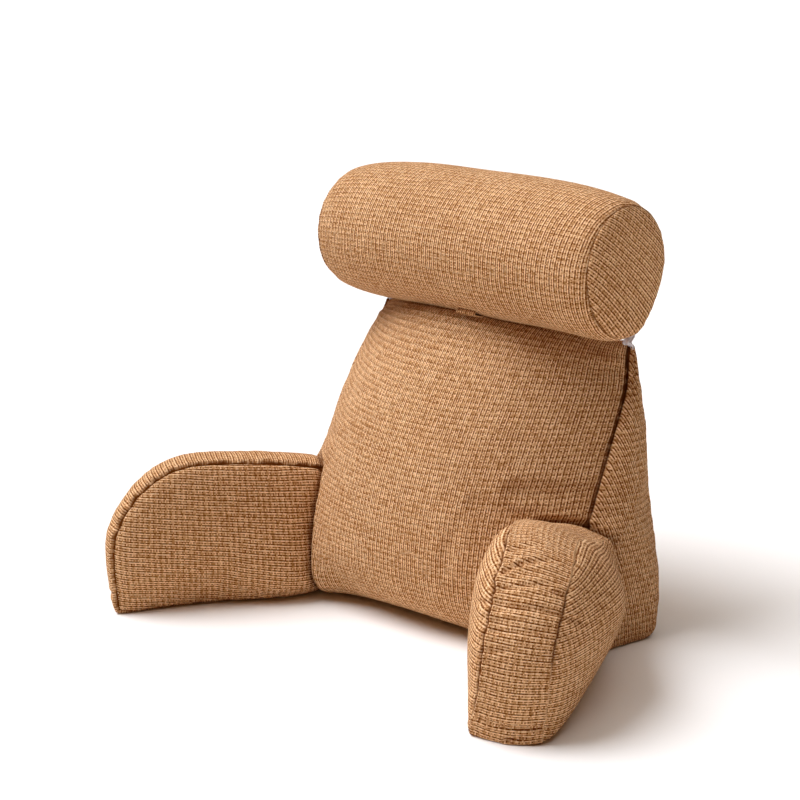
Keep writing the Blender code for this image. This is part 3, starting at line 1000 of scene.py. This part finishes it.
def make_strip(name, keys, width, x_at, thick, crumple, seed, steps=16, columns=24):
    """A strip of cloth along a path of (y, z) points, with crumples and a thickness."""
    path = curved_path(keys, steps)
    bm = bmesh.new()
    flat = bm.loops.layers.uv.new("threads")
    grid = []
    run = 0.0
    for i, (y, z) in enumerate(path):
        if i:
            run += math.dist(path[i - 1], path[i])
        before, after = path[max(i - 1, 0)], path[min(i + 1, len(path) - 1)]
        along = Vector((after[0] - before[0], after[1] - before[1])).normalized()
        row = []
        for j in range(columns + 1):
            across = j / columns - 0.5
            wave = crumple * (
                math.sin(across * 11 + 9 * run / 0.05 + seed)
                + 0.9 * noise.noise(Vector((across * 3, run * 90, seed)))
                + 0.3 * math.sin(across * 21 - run * 150 + seed * 2)
            )
            x = x_at(z) + across * width * (1 - 0.18 * abs(math.sin(run * 90 + seed)) * (crumple > 0.0002))
            row.append(bm.verts.new((x, y - along.y * wave, z + along.x * wave)))
        grid.append((row, run))
    for (row, run), (after, run_after) in zip(grid, grid[1:]):
        for j in range(columns):
            face = bm.faces.new((row[j], row[j + 1], after[j + 1], after[j]))
            face.smooth = True
            u, w = (j / columns - 0.5) * width, width / columns
            for loop, place in zip(face.loops, ((u, run), (u + w, run), (u + w, run_after), (u, run_after))):
                loop[flat].uv = place
    mesh = bpy.data.meshes.new(name)
    bm.to_mesh(mesh)
    bm.free()
    obj = linked(name, mesh)
    solid = obj.modifiers.new("thickness", "SOLIDIFY")
    solid.thickness = thick
    solid.offset = 0
    applied(obj)
    return obj, run


# ---------------------------------------------------------------- materials


class Nodes:
    """Short calls for building a material's nodes."""

    def __init__(self, name):
        self.material = bpy.data.materials.new(name)
        self.material.use_nodes = True
        self.tree = self.material.node_tree
        self.shader = self.tree.nodes["Principled BSDF"]

    def add(self, kind, **settings):
        node = self.tree.nodes.new(kind)
        for key, value in settings.items():
            setattr(node, key, value)
        return node

    def link(self, source, target):
        self.tree.links.new(source, target)

    def feed(self, sockets, given):
        """Sets each socket to what is given for it: a number, a colour or a node's output."""
        for socket, value in zip(sockets, given):
            if isinstance(value, (int, float)):
                socket.default_value = value
            elif isinstance(value, tuple):
                socket.default_value = (*value, 1.0)
            elif value is not None:
                self.link(value, socket)

    def surface(self, given):
        self.feed([self.shader.inputs[name] for name in given], given.values())

    def bump(self, height, strength, distance):
        node = self.add("ShaderNodeBump")
        self.feed([node.inputs[name] for name in ("Height", "Strength", "Distance")], (height, strength, distance))
        self.surface({"Normal": node.outputs[0]})

    def cloth_places(self):
        """The place in the flat cloth, whole and as its two parts."""
        flat = self.add("ShaderNodeUVMap", uv_map="threads").outputs["UV"]
        parts = self.add("ShaderNodeSeparateXYZ")
        self.link(flat, parts.inputs[0])
        return flat, parts.outputs[0], parts.outputs[1]

    def ramp(self, value, stops, interpolation="LINEAR"):
        ramp = self.add("ShaderNodeValToRGB")
        ramp.color_ramp.interpolation = interpolation
        while len(ramp.color_ramp.elements) < len(stops):
            ramp.color_ramp.elements.new(0.9)
        for element, (at, colour) in zip(ramp.color_ramp.elements, stops):
            element.position = at
            element.color = (*colour, 1)
        self.link(value, ramp.inputs[0])
        return ramp.outputs[0]

    def math(self, operation, a, b=None, c=None, clamp=False):
        node = self.add("ShaderNodeMath", operation=operation, use_clamp=clamp)
        self.feed(node.inputs, (a, b, c))
        return node.outputs[0]

    def noise(self, vector, scale, detail=2.0, roughness=0.5):
        node = self.add("ShaderNodeTexNoise")
        node.inputs["Scale"].default_value = scale
        node.inputs["Detail"].default_value = detail
        node.inputs["Roughness"].default_value = roughness
        self.link(vector, node.inputs["Vector"])
        return node.outputs["Fac"]

    def vector(self, x, y, z=0.0):
        node = self.add("ShaderNodeCombineXYZ")
        self.feed(node.inputs, (x, y, z))
        return node.outputs[0]

    def mix(self, factor, a, b):
        node = self.add("ShaderNodeMix", data_type="RGBA")
        self.feed([node.inputs[place] for place in (0, 6, 7)], (factor, a, b))
        return node.outputs[2]

    def nudged(self, tone, value, middle, weight):
        """The tone, moved by how far a value lies from its middle."""
        return self.math("ADD", tone, self.math("MULTIPLY", self.math("SUBTRACT", value, middle), weight))

    def attribute(self, name):
        return self.add("ShaderNodeAttribute", attribute_name=name).outputs["Fac"]


CHECK = 0.0065
THREAD = CHECK / 4
WARP_TONES = (0.10, 0.76, 0.59, 1.0)
WEFT_TONES = (0.12, 0.77, 0.58, 0.98)
MEAN_TONE = 0.61
# How far a thread strays from its straight line, from one side to the other
DRIFT = 0.0022


def woven_check(name):
    """A coarse plain weave whose light and brown threads make a small check, in the panel's own directions."""
    n = Nodes(name)
    flat, u, v = n.cloth_places()
    u = n.nudged(u, n.noise(flat, 30.0), 0.5, DRIFT)
    v = n.nudged(v, n.noise(flat, 24.0), 0.5, DRIFT)
    tones, humps, numbers = [], [], []
    for place, other, steps in ((u, v, WARP_TONES), (v, u, WEFT_TONES)):
        stops = [(i / 4, (tone, tone, tone)) for i, tone in enumerate(steps)]
        striped = n.ramp(n.math("FRACT", n.math("DIVIDE", place, CHECK)), stops, "CONSTANT")
        number = n.math("FLOOR", n.math("DIVIDE", place, THREAD))
        # Threads differ, and each one has slubs along its length.
        slub = n.noise(n.vector(n.math("MULTIPLY", number, 5.31), n.math("MULTIPLY", other, 75.0)), 1.0, 3.0, 0.6)
        tones.append(n.nudged(striped, slub, 0.5, 1.0))
        humps.append(n.math("SINE", n.math("MULTIPLY", n.math("FRACT", n.math("DIVIDE", place, THREAD)), math.pi)))
        numbers.append(number)
    # Over and under by turns
    over = n.math("MODULO", n.math("ABSOLUTE", n.math("ADD", *numbers)), 2.0)
    speck = n.add("ShaderNodeTexWhiteNoise", noise_dimensions="2D")
    n.link(n.vector(*numbers), speck.inputs["Vector"])
    both = n.math("MULTIPLY", n.math("ADD", *tones), 0.5)
    either = n.math("MULTIPLY", n.math("SUBTRACT", over, 0.5), n.math("SUBTRACT", *tones))
    tone = n.nudged(0.455, both, MEAN_TONE, 1.30)
    tone = n.math("ADD", tone, n.math("MULTIPLY", either, 0.95))
    hump = n.math("MULTIPLY", n.math("POWER", humps[0], 0.7), n.math("POWER", humps[1], 0.7))
    grain = n.noise(flat, 1100.0, 2.0, 0.7)
    patch = n.noise(flat, 12.0, 3.0)
    # The humps lighten the threads' crowns and darken the gaps between them as painted shade, while grain, patch
    # and speck vary the tone at random
    for value, centre, weight in (
        (grain, 0.5, 0.45),
        (patch, 0.5, 0.22),
        (speck.outputs["Value"], 0.5, 0.5),
        (hump, 0.6, 0.24),
    ):
        tone = n.nudged(tone, value, centre, weight)
    stops = [(0.0, (0.155, 0.042, 0.007)), (0.5, (0.505, 0.248, 0.096)), (1.0, (0.895, 0.600, 0.345))]
    thread = n.ramp(tone, stops)
    # Painted shade at the bottom of the seams and where the arms meet the wedge
    shade = n.math("MULTIPLY", n.attribute("painted_seam_shade"), 1.35, clamp=True)
    # Painted highlight along the seams' lips
    colour = n.mix(n.math("MULTIPLY", n.attribute("painted_seam_highlight"), 0.85), thread, (0.92, 0.60, 0.33))
    colour = n.mix(shade, colour, (0.135, 0.036, 0.004))
    n.surface({"Base Color": colour, "Roughness": n.math("MULTIPLY_ADD", grain, 0.18, 0.74)})
    n.surface({"Specular IOR Level": 0.03, "Sheen Weight": 0.01, "Sheen Roughness": 0.45})
    n.bump(n.math("ADD", hump, n.math("MULTIPLY", grain, 0.4)), 0.5, 0.0005)
    return n.material


def sheer_ribbon():
    """A thin, slightly shiny ribbon with fine crosswise threads."""
    n = Nodes("sheer_ribbon")
    flat, u, v = n.cloth_places()
    threads = n.math("SINE", n.math("MULTIPLY", v, 2 * math.pi / 0.0008))
    across = n.math("SINE", n.math("MULTIPLY", u, 2 * math.pi / 0.0010))
    weave = n.math("MULTIPLY", threads, across)
    cloudy = n.noise(flat, 210.0, 3.0)
    tone = n.math("MULTIPLY_ADD", weave, 0.10, cloudy)
    colour = n.ramp(tone, [(0.30, (0.47, 0.42, 0.44)), (0.68, (0.86, 0.83, 0.85))])
    n.surface({"Base Color": colour, "Roughness": n.math("MULTIPLY_ADD", cloudy, 0.3, 0.28), "Sheen Weight": 0.3})
    n.bump(tone, 0.4, 0.0003)
    return n.material


# ---------------------------------------------------------------- light, floor and camera


def aimed(name, light, place, target):
    obj = linked(name, light)
    obj.location = place
    obj.rotation_euler = (Vector(target) - Vector(place)).to_track_quat("-Z", "Y").to_euler()


def studio():
    target = Vector((0, 0, 0.22))
    key = bpy.data.lights.new("key", "SUN")
    key.energy = 3.45
    key.angle = math.radians(40)
    key.color = (0.95, 1.0, 1.10)
    aimed("key", key, target + Vector((-0.50, -0.31, 0.82)) * 4, target)
    top = bpy.data.lights.new("top", "SUN")
    top.energy = 1.3
    top.angle = math.radians(75)
    aimed("top", top, target + Vector((-0.10, 0.05, 1.0)) * 4, target)
    fill = bpy.data.lights.new("fill", "AREA")
    fill.shape = "DISK"
    fill.size = 2.6
    fill.energy = 3.4
    fill.color = (1.0, 0.42, 0.12)
    aimed("fill", fill, target + Vector((0.75, -0.95, 0.55)) * 3, target)
    world = bpy.data.worlds.new("studio")
    world.use_nodes = True
    world.node_tree.nodes["Background"].inputs[0].default_value = (1.0, 0.50, 0.20, 1)
    world.node_tree.nodes["Background"].inputs[1].default_value = 0.08
    bpy.context.scene.world = world
    mesh = bpy.data.meshes.new("floor")
    bm = bmesh.new()
    bmesh.ops.create_grid(bm, x_segments=1, y_segments=1, size=60)
    bm.to_mesh(mesh)
    bm.free()
    floor = linked("floor", mesh)
    floor.location = (0, 0, -0.0005)
    n = Nodes("floor")
    n.surface({"Base Color": (0.93, 0.90, 0.85), "Roughness": 0.9})
    mesh.materials.append(n.material)


# The focal length, as the photo's width in pixels measures it
FOCAL_PIXELS = 1889
PICTURE_PIXELS = 800
SENSOR_WIDTH = 36


def camera():
    turn, dip = math.radians(40.38), math.radians(16.82)
    look = Vector((-math.sin(turn) * math.cos(dip), math.cos(turn) * math.cos(dip), -math.sin(dip)))
    data = bpy.data.cameras.new("camera")
    data.lens = FOCAL_PIXELS / PICTURE_PIXELS * SENSOR_WIDTH
    data.sensor_width = SENSOR_WIDTH
    obj = linked("camera", data)
    obj.location = (1.497, -1.826, 1.0)
    obj.rotation_euler = look.to_track_quat("-Z", "Y").to_euler()
    bpy.context.scene.camera = obj


# ---------------------------------------------------------------- everything together


def finish_piece(obj, node, material):
    mesh = obj.data
    for name in ("inward", "around", "across"):
        if name in mesh.attributes:
            mesh.attributes.remove(mesh.attributes[name])
    mesh.materials.clear()
    mesh.materials.append(material)
    mesh.shade_smooth()
    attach(obj, "root")
    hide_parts(node)


def trim(piece, cutter):
    """Takes the wedge away from a panel of an arm."""
    modifier = piece.modifiers.new("trim", "BOOLEAN")
    modifier.operation = "DIFFERENCE"
    modifier.solver = "MANIFOLD"
    modifier.object = cutter
    applied(piece)


def main():
    cloth = woven_check("cover_cloth_woven")
    wedge = make_wedge()
    inflate(wedge, 0.006)
    arms = {side: make_arm(side) for side in SIGN}
    for arm in arms.values():
        inflate(arm, 0.005)
    roll = make_roll()
    inflate(roll, 0.004)

    cutter = wedge.build()
    arm_trees = {side: tree_of(arms[side].build()) for side in SIGN}
    wedge_tree = tree_of(cutter, False)
    # The arms reach a little way into the wedge, so that none of their cut faces shows.
    put(cutter.data, coords(cutter.data) - normals(cutter.data) * (CUT_DEPTH, CUT_DEPTH, 0.0))

    whole = wedge.finer(2, 2).build()
    shape_wedge(whole.data)
    points = coords(whole.data)
    for side, sign in SIGN.items():
        allowed = (points[:, 0] * sign > 0.03) & (points[:, 2] < 0.27) & (points[:, 1] < 0.12)
        pinch(whole.data, arm_trees[side], 0.0045, 0.009, allowed, 0.0026)
    names = {"left": "wedge_side_left", "main": "wedge_front_and_back_cloth", "right": "wedge_side_right"}
    nodes = {"left": "wedge_side_panel_left", "main": "wedge_front_and_back", "right": "wedge_side_panel_right"}
    for panel, obj in split(whole, wedge.names(), names).items():
        finish_piece(obj, nodes[panel], cloth)

    for side in SIGN:
        whole = arms[side].finer(3, 2).build()
        shape_arm(whole.data, side)
        pinch(whole.data, wedge_tree, 0.0035, 0.006)
        names = {"inner": f"arm_{side}_inner", "boxing": f"arm_{side}_boxing", "outer": f"arm_{side}_outer"}
        nodes = {
            "inner": f"arm_{side}_inner_panel",
            "boxing": f"arm_{side}_boxing_strip",
            "outer": f"arm_{side}_outer_panel",
        }
        for panel, piece in split(whole, arms[side].names(), names).items():
            trim(piece, cutter)
            finish_piece(piece, nodes[panel], cloth)
    bpy.data.objects.remove(cutter)

    whole = roll.finer(2, 2).build()
    shape_roll(whole.data)
    names = {"left": "roll_end_left", "tube": "roll_tube_cloth", "right": "roll_end_right"}
    nodes = {"left": "roll_end_panel_left", "tube": "roll_tube", "right": "roll_end_panel_right"}
    for panel, obj in split(whole, roll.names(), names).items():
        finish_piece(obj, nodes[panel], cloth)

    strap, length = make_strip("roll_strap_cloth", STRAP_PATH, STRAP_WIDTH, lambda z: 0.018, 0.0022, 0.0001, 1.0)
    finish_piece(strap, "roll_strap", cloth)
    sheer = sheer_ribbon()
    for side, sign in SIGN.items():
        start = sign * (RIBBON_X - RIBBON_LEAN * RIBBON_PATH[0][1])
        ribbon, length = make_strip(
            f"ribbon_{side}",
            RIBBON_PATH,
            RIBBON_WIDTH,
            lambda z: start + sign * RIBBON_LEAN * z,
            0.0011,
            0.0011,
            2.0 + sign,
        )
        finish_piece(ribbon, f"roll_ribbon_{side}", sheer)
    studio()
    camera()
    bpy.context.scene.view_settings.view_transform = "Standard"


main()
